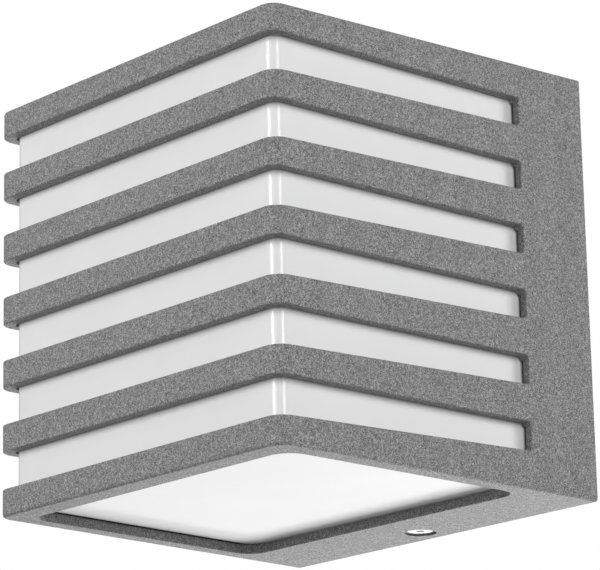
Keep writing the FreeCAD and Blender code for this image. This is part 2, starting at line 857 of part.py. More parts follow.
def make_terminal_block():
    back = gasket_thickness + plate_thickness
    half = terminal_pitch * 1.6
    high = terminal_height / 2
    block = box((-half, half), (-back - terminal_depth, -back), (terminal_z - high, terminal_z + high))
    tools = [cylinder(1.6, terminal_depth + 2, "-Y", terminal_pitch / 2, -back + 1, terminal_z)]
    for pole in poles:
        x = pole * terminal_pitch
        low = terminal_z - high - 1
        tools.append(cylinder(insert_radius + 0.05, terminal_height + 2, "+Z", x, -terminal_axis_out(), low))
        for side in (-1, 1):
            z = terminal_z + side * 4
            start = -terminal_axis_out()
            tools.append(cylinder(2.0, terminal_depth / 2 + 1, "-Y", x, start, z))
    return node("terminal_block", cut(block, *tools))


def make_terminal_inserts():
    pieces = []
    high = terminal_height / 2 - 1
    for pole in poles:
        x = pole * terminal_pitch
        out = -terminal_axis_out()
        tube = cylinder(insert_radius, high * 2, "+Z", x, out, terminal_z - high)
        holes = [cylinder(wire_hole, high * 2 + 2, "+Z", x, out, terminal_z - high - 1)]
        for side in (-1, 1):
            holes.append(cylinder(1.35, insert_radius + 1, "-Y", x, out, terminal_z + side * 4))
        pieces.append(cut(tube, *holes))
    return node("terminal_inserts", group(*pieces))


def make_terminal_screws():
    pieces = []
    face = -terminal_axis_out() - terminal_depth / 2
    for pole in poles:
        for side in (-1, 1):
            x = pole * terminal_pitch
            pieces.append(pan_screw(1.3, 1.85, as_size(1.8), 4.6, "+Y", x, face + 1.2, terminal_z + side * 4))
    return node("terminal_screws", group(*pieces))


def make_terminal_fixing():
    face = -(gasket_thickness + plate_thickness + terminal_depth)
    radius = small_screw_radius
    screw = pan_screw(radius, 2.7, as_size(1.8), terminal_depth + 3.6, "+Y", terminal_pitch / 2, face - 1.8, terminal_z)
    return node("terminal_fixing_screw", screw)


# Lamp holder --------------------------------------------------------------------------------------------------------


def make_bracket():
    """Hat-shaped strip: two feet on the plate and a raised face for the holder."""
    body = new_body("holder_bracket")
    plate = gasket_thickness + plate_thickness
    leg = bracket_half_width
    foot = rivet_x + 6
    strip = bracket_sheet
    sketch = new_sketch(body, "XY_Plane")
    draw(
        sketch,
        [
            (-foot, -plate),
            (-foot, -plate - strip),
            (-leg - strip, -plate - strip),
            (-leg - strip, -bracket_out),
            (leg + strip, -bracket_out),
            (leg + strip, -plate - strip),
            (foot, -plate - strip),
            (foot, -plate),
            (leg, -plate),
            (leg, -bracket_out + strip),
            (-leg, -bracket_out + strip),
            (-leg, -plate),
        ],
    )
    pad(body, sketch, bracket_height, symmetric=True)
    sketch = new_sketch(body, "XZ_Plane", plate - 1)
    for side in (-1, 1):
        draw_circle(sketch, side * rivet_x, 0, 1.65)
    pocket(body, sketch, strip + 2, reverse=True)
    sketch = new_sketch(body, "XZ_Plane", bracket_out - strip - 1)
    for side in (-1, 1):
        draw_circle(sketch, side * holder_screw_x, 0, small_screw_radius + 0.1)
    pocket(body, sketch, strip + 2, reverse=True)
    return node("holder_bracket", body)


def make_rivets():
    plate = gasket_thickness + plate_thickness
    face = plate + bracket_sheet
    rivets = []
    for side in (-1, 1):
        x = side * rivet_x
        head = cone(3.0, 2.0, 1.2, "-Y", x, -face, as_size(0))
        shank = cylinder(1.55, bracket_sheet + plate_thickness - 0.2, "+Y", x, -face, as_size(0))
        rivets.append(fuse(head, shank))
    return node("bracket_rivets", group(*rivets))


def make_holder_body():
    body = new_body("holder_body")
    rim = holder_front_out
    floor = holder_floor_out
    bore = cap_radius + running_gap + shell_thickness + 0.07
    sketch = new_sketch(body, "XY_Plane")
    draw(
        sketch,
        [
            (0, -floor),
            (0, -floor + holder_floor),
            (chamber_radius, -floor + holder_floor),
            (chamber_radius, -holder_back_out),
            (holder_radius, -holder_back_out),
            (holder_radius, -rim + 12),
            (holder_radius - 1.5, -rim + 10),
            (holder_radius - 1.5, -rim + 1),
            (holder_radius - 2.5, -rim),
            (bore, -rim),
            (bore, -floor),
        ],
    )
    turn(body, "Revolution", sketch)
    sketch = new_sketch(body, "XZ_Plane", holder_back_out - 1)
    for side in (-1, 1):
        draw_circle(sketch, side * holder_screw_x, 0, small_screw_radius + 0.05)
    pocket(body, sketch, as_size(9), reverse=True)
    sketch = new_sketch(body, "XZ_Plane", floor - holder_floor - 1)
    for x in (as_size(0), shell_pin_x):
        draw_circle(sketch, x, 0, contact_pin + 0.05)
    pocket(body, sketch, holder_floor + 2, reverse=True)
    sketch = new_sketch(body, "XY_Plane", as_size(6))
    window_back = -holder_back_out + 1
    draw(sketch, rectangle(as_size(-6), as_size(14), -(floor - holder_floor) + 0.5, window_back))
    pocket(body, sketch, as_size(16), reverse=True)
    return node("holder_body", body)


def make_holder_cover():
    body = new_body("holder_rear_cover")
    length = holder_back_out - bracket_out
    sketch = new_sketch(body, "XZ_Plane", bracket_out)
    draw_circle(sketch, 0, 0, holder_radius)
    for side in (-1, 1):
        draw_circle(sketch, side * holder_screw_x, 0, small_screw_radius + 0.1)
    pad(body, sketch, length)
    return node("holder_rear_cover", body)


def make_holder_screws():
    inner = bracket_out - bracket_sheet
    screws = []
    for side in (-1, 1):
        x = side * holder_screw_x
        screws.append(pan_screw(small_screw_radius, 2.8, as_size(2), 14.5, "-Y", x, -inner + 2, as_size(0)))
    return node("holder_screws", group(*screws))


def make_screw_shell():
    inner = cap_radius + running_gap
    outer = inner + shell_thickness
    floor = holder_floor_out
    front = -holder_front_out + 1
    corners = [
        (as_size(9), -floor),
        (outer, -floor),
        (outer, front),
        (inner, front),
        (inner, -floor - shell_thickness),
        (as_size(9), -floor - shell_thickness),
    ]
    cup = turned("screw_shell", "XY_Plane", corners)
    pin = cylinder(contact_pin, holder_floor + 4, "+Y", shell_pin_x, -floor - shell_thickness, as_size(0))
    return node("screw_shell", fuse(cup, pin))


def make_centre_contact():
    floor = holder_floor_out
    leaf = box((as_size(-7), as_size(7)), (-floor - 1.1, -floor - 0.5), (as_size(-2.5), as_size(2.5)))
    foot = box((as_size(-2.5), as_size(2.5)), (-floor - 0.5, -floor), (as_size(-2.5), as_size(2.5)))
    pin = cylinder(contact_pin, holder_floor + 4, "+Y", as_size(0), -floor, as_size(0))
    return node("centre_contact", fuse(leaf, foot, pin))


# Leads --------------------------------------------------------------------------------------------------------------


def route_wire(route):
    """Straight runs joined by tangent arcs, each as large as its two runs allow."""
    edges = []
    start = route[0]
    for before, corner, after in zip(route, route[1:], route[2:]):
        incoming = (corner - before).normalize()
        outgoing = (after - corner).normalize()
        half_turn = incoming.getAngle(outgoing) / 2
        run = min((corner - before).Length, (after - corner).Length)
        reach = 0.45 * run
        arc_start = corner - incoming * reach
        arc_end = corner + outgoing * reach
        inward = (outgoing - incoming).normalize()
        rise = reach * math.tan(half_turn / 2)
        offset = reach * math.sin(half_turn) - rise * math.cos(half_turn)
        middle = corner + inward * offset
        edges.append(Part.LineSegment(start, arc_start).toShape())
        edges.append(Part.Arc(arc_start, middle, arc_end).toShape())
        print("lead bend radius", round(reach / math.tan(half_turn), 1))
        start = arc_end
    edges.append(Part.LineSegment(start, route[-1]).toShape())
    return Part.Wire(edges)


def make_lead(label, points):
    """A round lead along a route of points in the part's frame."""
    route = [Vector(*(as_size(number).value for number in point)) for point in points]
    path = route_wire(route)
    radius = lead_radius.value
    ring = Part.Wire(Part.makeCircle(radius, route[0], route[1] - route[0]))
    lead = doc.addObject("Part::Feature", label)
    lead.Shape = path.makePipeShell([ring], True, False)
    lead.Placement = Placement()
    expected = math.pi * radius**2 * path.Length
    if abs(lead.Shape.Volume / expected - 1) > 0.02:
        raise RuntimeError(label + " has the wrong volume")
    return node(label, lead)


def make_leads():
    out = -terminal_axis_out()
    start = terminal_z - terminal_height / 2 + 2
    clear = terminal_z - terminal_height / 2 - 7
    chamber = -holder_back_out - 4
    end = contact_pin + 0.1
    pitch = terminal_pitch
    make_lead("live_lead", [(-pitch, out, start), (-pitch, out, clear), (-4, chamber, 23), (0, chamber, end)])
    make_lead("neutral_lead", [(pitch, out, start), (pitch, out, clear), (11, chamber, 22), (10, chamber, end)])
    tag = -(gasket_thickness + plate_thickness + 2.2)
    make_lead("earth_lead", [(0, out, start), (0, out, clear), (19, out + 2, 26), (earth_x - 15, tag, 20.5),
                             (earth_x - 8, tag, earth_z)])


def make_earth():
    plate = gasket_thickness + plate_thickness
    washer_front = plate + 0.8
    tag_front = washer_front + 0.8
    ring = cylinder(4.2, 0.8, "-Y", earth_x, -washer_front, earth_z)
    neck = box((earth_x - 5.5, earth_x - 3), (-tag_front, -washer_front), (earth_z - 1.5, earth_z + 1.5))
    sleeve = cylinder(2.0, 3.0, "+X", earth_x - 8, -(plate + 2.2), earth_z)
    hole = cylinder(2.05, 2.8, "-Y", earth_x, -washer_front + 1, earth_z)
    lead_hole = cylinder(lead_radius + 0.05, 1.5, "+X", earth_x - 8.5, -(plate + 2.2), earth_z)
    node("ring_terminal", cut(fuse(ring, neck, sleeve), hole, lead_hole))
    washer = cylinder(4.0, 0.8, "-Y", earth_x, -plate, earth_z)
    washer_hole = cylinder(2.05, 2.8, "-Y", earth_x, -plate + 1, earth_z)
    node("earth_washer", cut(washer, washer_hole))
    screw = pan_screw(1.95, 3.8, as_size(2.4), 5.8, "+Y", earth_x, -tag_front - 2.4, earth_z)
    node("earth_screw", screw)


# Lamp ---------------------------------------------------------------------------------------------------------------


def make_lamp():
    centre_out = globe_end_out - globe_radius
    drop = centre_out - globe_start_out
    edge = math.sqrt(globe_radius.value**2 - drop.value**2)
    edge_reach = globe_radius * (edge / globe_radius.value)
    inner_radius = globe_radius - globe_thickness
    inner_edge_value = math.sqrt(inner_radius.value**2 - drop.value**2)
    inner_edge = inner_radius * (inner_edge_value / inner_radius.value)
    globe = [
        (0, -globe_end_out),
        (globe_radius, -centre_out, globe_radius),
        (edge_reach, -globe_start_out, globe_radius),
        (inner_edge, -globe_start_out),
        (inner_radius, -centre_out, -inner_radius),
        (0, -globe_end_out + globe_thickness, -inner_radius),
    ]
    node("bulb_globe", turned("bulb_globe", "XY_Plane", globe))
    board_out = globe_start_out - 1
    skirt = [
        (0, -cap_front_out),
        (cap_radius + 0.5, -cap_front_out),
        (cap_radius + 0.9, -cap_front_out - 4),
        (edge_reach - 0.9, -globe_start_out + 4),
        (edge_reach, -globe_start_out + 0.05),
        (0, -globe_start_out + 0.05),
    ]
    node("bulb_body", turned("bulb_body", "XY_Plane", skirt))
    cap = [
        (0, -cap_back_out),
        (0, -cap_front_out + 0.05),
        (cap_radius, -cap_front_out + 0.05),
        (cap_radius, -cap_back_out - 1.2),
        (cap_radius - 2.2, -cap_back_out),
    ]
    node("bulb_cap", turned("bulb_cap", "XY_Plane", cap))
    insulator = [
        (0, -cap_back_out + 0.05),
        (cap_radius - 2.4, -cap_back_out + 0.05),
        (tip_radius + 0.8, -tip_out - 1.9),
        (0, -tip_out - 1.9),
    ]
    node("bulb_insulator", turned("bulb_insulator", "XY_Plane", insulator))
    tip = [
        (0, -tip_out - 1.8),
        (tip_radius, -tip_out - 1.8),
        (tip_radius - 0.4, -tip_out - 0.4),
        (tip_radius - 1.6, -tip_out),
        (0, -tip_out),
    ]
    node("bulb_tip", turned("bulb_tip", "XY_Plane", tip))
    board = cylinder(inner_edge - 1.5, 1.2, "-Y", as_size(0), -board_out - 1.05, as_size(0))
    node("led_board", board)
    chips = []
    for index in range(8):
        angle = math.radians(45 * index)
        x = as_size(11 * round(math.cos(angle), 6))
        z = as_size(11 * round(math.sin(angle), 6))
        face = -board_out - 1.05 - 1.25
        chips.append(box((x - 1.4, x + 1.4), (face - 0.8, face), (z - 1.4, z + 1.4)))
    node("led_chips", group(*chips))


def build():
    make_housing()
    make_diffuser()
    make_seal()
    make_tub_screws()
    make_retaining_screw()
    make_clamp_bar()
    make_wall_plate()
    make_wall_gasket()
    make_grommet()
    make_terminal_block()
    make_terminal_inserts()
    make_terminal_screws()
    make_terminal_fixing()
    make_bracket()
    make_rivets()
    make_holder_body()
    make_holder_cover()
    make_holder_screws()
    make_screw_shell()
    make_centre_contact()
    make_leads()
    make_earth()
    make_lamp()


def check_and_write():
    doc.recompute()
    for thing in doc.Objects:
        if "Invalid" in thing.State or "Error" in thing.State:
            raise RuntimeError(thing.Name + " did not build")
    os.makedirs("parts", exist_ok=True)
    for thing in nodes:
        if thing.Shape.isNull() or not thing.Shape.isValid():
            raise RuntimeError(thing.Label + " has no valid shape")
        thing.Shape.exportStep(f"parts/{thing.Label}.step")
        bounds = thing.Shape.BoundBox
        print(thing.Label, len(thing.Shape.Solids), round(thing.Shape.Volume / 1000, 2),
              [round(number, 1) for number in (bounds.XMin, bounds.XMax, bounds.YMin, bounds.YMax,
                                               bounds.ZMin, bounds.ZMax)])


build()
check_and_write()
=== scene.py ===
import json
import math

import bmesh
import bpy
from mathutils import Matrix, Vector


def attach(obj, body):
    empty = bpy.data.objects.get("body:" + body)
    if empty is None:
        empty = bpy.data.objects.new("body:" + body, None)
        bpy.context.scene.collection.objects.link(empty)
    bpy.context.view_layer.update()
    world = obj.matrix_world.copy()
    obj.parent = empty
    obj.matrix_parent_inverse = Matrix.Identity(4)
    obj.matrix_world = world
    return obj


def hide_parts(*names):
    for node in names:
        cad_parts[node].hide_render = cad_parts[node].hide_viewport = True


# Looks of the outdoor wall lantern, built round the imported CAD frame.
# Metres, unless a name or a section says millimetres; the wall is y = 0 and -Y is outwards.

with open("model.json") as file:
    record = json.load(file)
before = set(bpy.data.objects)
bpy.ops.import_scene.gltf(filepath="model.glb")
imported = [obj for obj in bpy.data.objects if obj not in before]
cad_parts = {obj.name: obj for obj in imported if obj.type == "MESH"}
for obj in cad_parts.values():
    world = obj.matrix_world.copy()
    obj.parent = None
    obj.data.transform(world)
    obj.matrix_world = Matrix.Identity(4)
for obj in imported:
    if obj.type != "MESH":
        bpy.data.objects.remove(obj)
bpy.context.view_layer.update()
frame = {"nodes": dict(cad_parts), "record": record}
MM = 0.001


# --------------------------------------------------------------------------------------------------
# Material helpers


class Paint:
    """A node material under construction: one Principled shader and the textures that feed it."""

    def __init__(self, name):
        self.material = bpy.data.materials.new(name)
        self.material.use_nodes = True
        self.tree = self.material.node_tree
        self.shader = self.tree.nodes["Principled BSDF"]
        self.place = self.node("ShaderNodeTexCoord").outputs["Object"]

    def node(self, kind, **settings):
        made = self.tree.nodes.new(kind)
        for name, value in settings.items():
            setattr(made, name, value)
        return made

    def feed(self, socket, value):
        if isinstance(value, bpy.types.NodeSocket):
            self.tree.links.new(value, socket)
        else:
            socket.default_value = value

    def set(self, **values):
        """Shader sockets by name, with underscores for spaces."""
        for name, value in values.items():
            self.feed(self.shader.inputs[name.replace("_", " ")], value)

    def stretched(self, x=1.0, y=1.0, z=1.0):
        mapping = self.node("ShaderNodeMapping")
        self.feed(mapping.inputs["Vector"], self.place)
        mapping.inputs["Scale"].default_value = (x, y, z)
        return mapping.outputs["Vector"]

    def noise(self, size_mm, detail=2.0, roughness=0.5, place=None):
        """Noise whose lumps are about size_mm across; its value averages a half."""
        made = self.node("ShaderNodeTexNoise")
        self.feed(made.inputs["Vector"], place or self.place)
        made.inputs["Scale"].default_value = 0.5 / (size_mm * MM)
        made.inputs["Detail"].default_value = detail
        made.inputs["Roughness"].default_value = roughness
        return made.outputs["Fac"]

    def grains(self, size_mm, output="Color"):
        made = self.node("ShaderNodeTexVoronoi")
        self.feed(made.inputs["Vector"], self.place)
        made.inputs["Scale"].default_value = 1.0 / (size_mm * MM)
        return made.outputs[output]

    def cell_tone(self, size_mm):
        """A random level for each grain."""
        split = self.node("ShaderNodeSeparateColor")
        self.feed(split.inputs[0], self.grains(size_mm))
        return split.outputs[0]

    def math(self, operation, first, second):
        made = self.node("ShaderNodeMath", operation=operation)
        self.feed(made.inputs[0], first)
        self.feed(made.inputs[1], second)
        return made.outputs[0]

    def mixed(self, *parts):
        """The sum of (value, weight) pairs."""
        total = None
        for value, weight in parts:
            weighted = self.math("MULTIPLY", value, weight)
            total = weighted if total is None else self.math("ADD", total, weighted)
        return total

    def remap(self, value, low, high, to_low, to_high):
        made = self.node("ShaderNodeMapRange")
        self.feed(made.inputs["Value"], value)
        for name, number in (("From Min", low), ("From Max", high), ("To Min", to_low), ("To Max", to_high)):
            made.inputs[name].default_value = number
        return made.outputs["Result"]

    def ramp(self, value, *stops):
        """Colour ramp through (position, colour) stops."""
        made = self.node("ShaderNodeValToRGB")
        self.feed(made.inputs["Fac"], value)
        elements = made.color_ramp.elements
        while len(elements) < len(stops):
            elements.new(0.5)
        for element, (position, colour) in zip(elements, stops):
            element.position = position
            element.color = rgba(colour)
        return made.outputs["Color"]

    def bump(self, height, depth_mm, strength):
        """The last step of a piece's material, so it returns the paint."""
        made = self.node("ShaderNodeBump")
        self.feed(made.inputs["Height"], height)
        made.inputs["Distance"].default_value = depth_mm * MM
        made.inputs["Strength"].default_value = strength
        self.feed(self.shader.inputs["Normal"], made.outputs["Normal"])
        return self


def rgba(colour):
    if isinstance(colour, (int, float)):
        colour = (colour, colour, colour)
    return (*colour[:3], 1.0)


def shade(colour, factor):
    return tuple(min(1.0, channel * factor) for channel in colour)


COAT_GRAIN_MM = 0.29
COAT_FINE_MM = 0.19
COAT_COARSE_MM = 0.62
COAT_RELIEF_MM = 0.09


def powder_coat():
    """Fine textured powder coat: light and dark grains, slightly raised."""
    paint = Paint("powder_coat")
    grain = paint.cell_tone(COAT_GRAIN_MM)
    fine = paint.noise(COAT_FINE_MM, 3.0, 0.6)
    coarse = paint.noise(COAT_COARSE_MM, 3.0, 0.6)
    speckle = paint.mixed((grain, 0.34), (fine, 0.36), (coarse, 0.30))
    colour = paint.ramp(
        speckle,
        (0.31, (0.088, 0.088, 0.089)),
        (0.44, (0.190, 0.190, 0.191)),
        (0.56, (0.272, 0.272, 0.273)),
        (0.70, (0.480, 0.480, 0.482)),
    )
    rough = paint.remap(fine, 0.3, 0.7, 0.74, 0.56)
    paint.set(Base_Color=colour, Roughness=rough, Specular_IOR_Level=0.2)
    return paint.bump(speckle, COAT_RELIEF_MM, 0.75).material


PLASTIC_CLOUD_MM = 14.0
PLASTIC_SCATTER_MM = 4


def moulded(name, colour, roughness, grain_mm=0.5, depth_mm=0.01, subsurface=0.0, coat=0.0):
    """Moulded plastic: a faint spark texture, slow tone changes and a slightly uneven gloss."""
    paint = Paint(name)
    slow = paint.noise(PLASTIC_CLOUD_MM, 2.0)
    fine = paint.noise(grain_mm, 3.0)
    tone = paint.ramp(slow, (0.30, shade(colour, 0.98)), (0.70, shade(colour, 1.01)))
    rough = paint.remap(fine, 0.3, 0.7, roughness * 0.88, roughness * 1.12)
    paint.set(Base_Color=tone, Roughness=rough)
    if subsurface:
        paint.set(Subsurface_Weight=subsurface, Subsurface_Scale=PLASTIC_SCATTER_MM * MM)
        paint.set(Subsurface_Radius=(1.0, 1.0, 1.0))
    if coat:
        paint.set(Coat_Weight=coat, Coat_Roughness=0.08)
    return paint.bump(fine, depth_mm, 0.5).material


METAL_MARK_MM = 0.3
METAL_STAIN_MM = 7.0
METAL_RELIEF_MM = 0.006


def metal(name, colour, roughness, stretch=(1.0, 1.0, 1.0), spangle_mm=0.0):
    """Plated or drawn metal: fine marks along one direction, faint stains, and crystals on zinc."""
    paint = Paint(name)
    marks = paint.noise(METAL_MARK_MM, 3.0, place=paint.stretched(*stretch))
    stain = paint.noise(METAL_STAIN_MM, 3.0)
    level = paint.mixed((marks, 0.5), (stain, 0.5))
    if spangle_mm:
        level = paint.mixed((level, 0.6), (paint.cell_tone(spangle_mm), 0.4))
    tone = paint.ramp(level, (0.30, shade(colour, 0.80)), (0.70, shade(colour, 1.10)))
    rough = paint.remap(level, 0.3, 0.7, roughness * 1.25, roughness * 0.80)
    paint.set(Base_Color=tone, Roughness=rough, Metallic=1.0)
    return paint.bump(marks, METAL_RELIEF_MM, 0.6).material


RUBBER_DUST_MM = 5.0


def soft_rubber(name, colour, cell_mm, depth_mm):
    """Rubber or closed-cell foam: matt, with pores."""
    paint = Paint(name)
    pores = paint.grains(cell_mm, "Distance")
    dust = paint.noise(RUBBER_DUST_MM, 4.0)
    tone = paint.ramp(dust, (0.35, colour), (0.75, shade(colour, 1.9)))
    paint.set(Base_Color=tone, Roughness=paint.remap(dust, 0.3, 0.7, 0.72, 0.9))
    return paint.bump(pores, depth_mm, 0.8).material


STRIPES_SCALE = 120
LEAD_GRAIN_MM = 0.4
LEAD_RELIEF_MM = 0.008


def striped_lead():
    """Green lead with a yellow stripe that winds round it."""
    paint = Paint("lead_green")
    wave = paint.node("ShaderNodeTexWave", bands_direction="DIAGONAL")
    paint.feed(wave.inputs["Vector"], paint.place)
    wave.inputs["Scale"].default_value = STRIPES_SCALE
    tone = paint.ramp(wave.outputs["Fac"], (0.62, (0.05, 0.26, 0.05)), (0.70, (0.75, 0.62, 0.04)))
    fine = paint.noise(LEAD_GRAIN_MM)
    paint.set(Base_Color=tone, Roughness=paint.remap(fine, 0.3, 0.7, 0.38, 0.5))
    return paint.bump(fine, LEAD_RELIEF_MM, 0.5).material


MATERIALS = {
    "powder_coat": powder_coat(),
    "opal_plastic": moulded(
        "opal_plastic", (0.86, 0.86, 0.862), 0.45, 2.5, 0.0004, subsurface=0.25, coat=0.5
    ),
    "foam": soft_rubber("foam", (0.030, 0.030, 0.032), 0.6, 0.12),
    "stainless_steel": metal("stainless_steel", (0.97, 0.97, 0.965), 0.34, (1.0, 1.0, 0.2)),
    "zinc_steel": metal("zinc_steel", (0.62, 0.63, 0.65), 0.36, spangle_mm=3.2),
    "white_silicone": moulded("white_silicone", (0.78, 0.78, 0.77), 0.60, 0.8, 0.01, subsurface=0.2),
    "rubber": soft_rubber("rubber", (0.022, 0.022, 0.023), 0.35, 0.03),
    "white_plastic": moulded("white_plastic", (0.80, 0.80, 0.785), 0.42),
    "brass": metal("brass", (0.80, 0.58, 0.26), 0.26, (1.0, 0.15, 1.0)),
    "aluminium_rivet": metal("aluminium_rivet", (0.76, 0.77, 0.78), 0.34),
    "porcelain_plastic": moulded("porcelain_plastic", (0.78, 0.76, 0.71), 0.30, coat=0.2),
    "lead_brown": moulded("lead_brown", (0.16, 0.065, 0.03), 0.42, LEAD_GRAIN_MM, LEAD_RELIEF_MM),
    "lead_blue": moulded("lead_blue", (0.03, 0.11, 0.36), 0.42, LEAD_GRAIN_MM, LEAD_RELIEF_MM),
    "lead_green": striped_lead(),
    "tinned_copper": metal("tinned_copper", (0.78, 0.78, 0.765), 0.30),
    "bulb_opal": moulded("bulb_opal", (0.90, 0.90, 0.885), 0.20, 3.0, 0.003, subsurface=0.3, coat=0.3),
    "nickel": metal("nickel", (0.80, 0.79, 0.765), 0.20, (1.0, 0.3, 1.0)),
    "black_glass": moulded("black_glass", (0.012, 0.012, 0.016), 0.10, 1.0, 0.004, coat=0.5),
    "white_board": moulded("white_board", (0.84, 0.85, 0.85), 0.28, 0.3),
    "led_phosphor": moulded("led_phosphor", (0.86, 0.66, 0.16), 0.30, 0.15, 0.01),
}
SLOT_OF = {part["node"]: part["material_slot"] for part in frame["record"]["subparts"]}


def dress(piece, material):
    piece.data.materials.clear()
    piece.data.materials.append(material)


for name, node in frame["nodes"].items():
    dress(node, MATERIALS[SLOT_OF[name]])


# --------------------------------------------------------------------------------------------------
# The lamp's E27 thread, and the screw shell that it turns in.
# Millimetres; a place along the lamp's axis is a distance out from the wall.

THREAD_PITCH = 3.629
CREST_RADIUS = 13.25
THREAD_DEPTH = 0.9
SHELL_THREAD_DEPTH = 0.8
THREAD_GAP = 0.08
SHELL_SHEET = 0.45

CAP_BACK = 42.02
CAP_BACK_RADIUS = 10.6
CAP_CONE = 42.05
CAP_CONE_RADIUS = 11.0
CAP_SHOULDER = 43.2
CAP_SHOULDER_RADIUS = 12.2
CAP_THREAD_START = 43.8
CAP_THREAD_FULL = 45.2
CAP_THREAD_FADES = 57.2
CAP_THREAD_END = 58.7
CAP_BAND = 59.0
CAP_RIM = 60.6
CAP_FRONT = 60.92
RIM_ROUNDING = 0.3

SHELL_BACK = 36.02
SHELL_FLOOR = 36.48
SHELL_FLOOR_INNER_EDGE = 36.46
SHELL_FLOOR_HOLLOW = 36.3
SHELL_INNER_FOOT = 36.8
SHELL_OUTER_FOOT = 36.4
SHELL_HOLE_RADIUS = 9.1
SHELL_THREAD_START = 38.0
SHELL_THREAD_FULL = 40.0
SHELL_THREAD_FADES = 55.5
SHELL_THREAD_END = 57.0
SHELL_LIP = 57.9
SHELL_MOUTH = 58.0

PIN_RADIUS = 1.2
PIN_SIDEWAYS = 10
PIN_FRONT = 36.2
PIN_BACK = 26.45
PIN_SIDES = 24

STEPS_ROUND = 96
STEPS_PER_TURN = 12
SHARP_EDGE_DEGREES = 40


def thread_groove(out, turn):
    """How deep the thread is, from 0 on its crest to 1 in its groove; turn counts about the lamp's axis."""
    return 0.5 - 0.5 * math.cos(2 * math.pi * (out / THREAD_PITCH - turn))


def fade(value, start, end):
    """0 before start, 1 after end, smooth between; start may be the larger."""
    share = min(1.0, max(0.0, (value - start) / (end - start)))
    return share * share * (3 - 2 * share)


def cap_radius_at(out, turn):
    """The cap is at its smallest behind the thread, where it enters the shell, and plain in front of it."""
    groove = thread_groove(out, turn)
    groove += (1 - groove) * fade(out, CAP_THREAD_FULL, CAP_THREAD_START)
    return CREST_RADIUS - THREAD_DEPTH * groove * fade(out, CAP_THREAD_END, CAP_THREAD_FADES)


def shell_radius_at(out, turn):
    """The shell's inner face keeps clear of the cap and has no thread at its mouth or its floor."""
    groove = thread_groove(out, turn) * fade(out, SHELL_THREAD_END, SHELL_THREAD_FADES)
    groove *= fade(out, SHELL_THREAD_START, SHELL_THREAD_FULL)
    return CREST_RADIUS + THREAD_GAP - SHELL_THREAD_DEPTH * groove


def shell_outer_radius_at(out, turn):
    return shell_radius_at(out, turn) + SHELL_SHEET


def spaced(start, end):
    """Distances from the wall along a threaded run."""
    count = max(2, round(abs(end - start) / THREAD_PITCH * STEPS_PER_TURN))
    return [start + (end - start) * index / count for index in range(count + 1)]


def ring_at(mesh, out, radius):
    """One ring of points round the lamp's axis; radius is a number or a function of out and turn."""
    ring = []
    for step in range(STEPS_ROUND):
        turn = step / STEPS_ROUND
        reach = radius(out, turn) if callable(radius) else radius
        angle = 2 * math.pi * turn
        place = (reach * MM * math.cos(angle), -out * MM, reach * MM * math.sin(angle))
        ring.append(mesh.verts.new(place))
    return ring


def turned_mesh(rows, closed):
    """A mesh turned about the lamp's axis, through rows of (out, radius).

    Closed joins the last row to the first; otherwise both ends are capped.
    """
    mesh = bmesh.new()
    rings = [ring_at(mesh, out, radius) for out, radius in rows]
    pairs = list(zip(rings, rings[1:]))
    if closed:
        pairs.append((rings[-1], rings[0]))
    else:
        mesh.faces.new(rings[0])
        mesh.faces.new(rings[-1])
    for first, second in pairs:
        for step in range(STEPS_ROUND):
            after = (step + 1) % STEPS_ROUND
            mesh.faces.new((first[step], first[after], second[after], second[step]))
    return mesh


def finished(name, mesh):
    """The mesh as an object of the scene, smooth but for its sharp edges."""
    bmesh.ops.recalc_face_normals(mesh, faces=mesh.faces)
    for face in mesh.faces:
        face.smooth = True
    for edge in mesh.edges:
        if len(edge.link_faces) == 2 and edge.calc_face_angle() > math.radians(SHARP_EDGE_DEGREES):
            edge.smooth = False
    data = bpy.data.meshes.new(name)
    mesh.to_mesh(data)
    mesh.free()
    piece = bpy.data.objects.new(name, data)
    bpy.context.scene.collection.objects.link(piece)
    return piece


def stand_for(piece, node, body):
    """The piece takes the place of a CAD node, rides its body and takes its finish."""
    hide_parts(node)
    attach(piece, body)
    dress(piece, MATERIALS[SLOT_OF[node]])


def make_threaded_cap():
    root = CREST_RADIUS - THREAD_DEPTH
    rows = [(CAP_BACK, CAP_BACK_RADIUS), (CAP_CONE, CAP_CONE_RADIUS), (CAP_SHOULDER, CAP_SHOULDER_RADIUS)]
    rows += [(CAP_THREAD_START - 0.2, root)]
    rows += [(out, cap_radius_at) for out in spaced(CAP_THREAD_START, CAP_BAND)]
    rows += [(CAP_RIM, CREST_RADIUS), (CAP_FRONT, CREST_RADIUS - RIM_ROUNDING)]
    stand_for(finished("threaded_cap", turned_mesh(rows, closed=False)), "bulb_cap", "bulb")


def add_shell_pin(mesh):
    """The pin behind the shell's floor, which the neutral lead meets."""
    middle = Vector((PIN_SIDEWAYS, -(PIN_FRONT + PIN_BACK) / 2, 0)) * MM
    place = Matrix.Translation(middle) @ Matrix.Rotation(math.radians(90), 4, "X")
    bmesh.ops.create_cone(
        mesh,
        cap_ends=True,
        segments=PIN_SIDES,
        radius1=PIN_RADIUS * MM,
        radius2=PIN_RADIUS * MM,
        depth=(PIN_FRONT - PIN_BACK) * MM,
        matrix=place,
    )


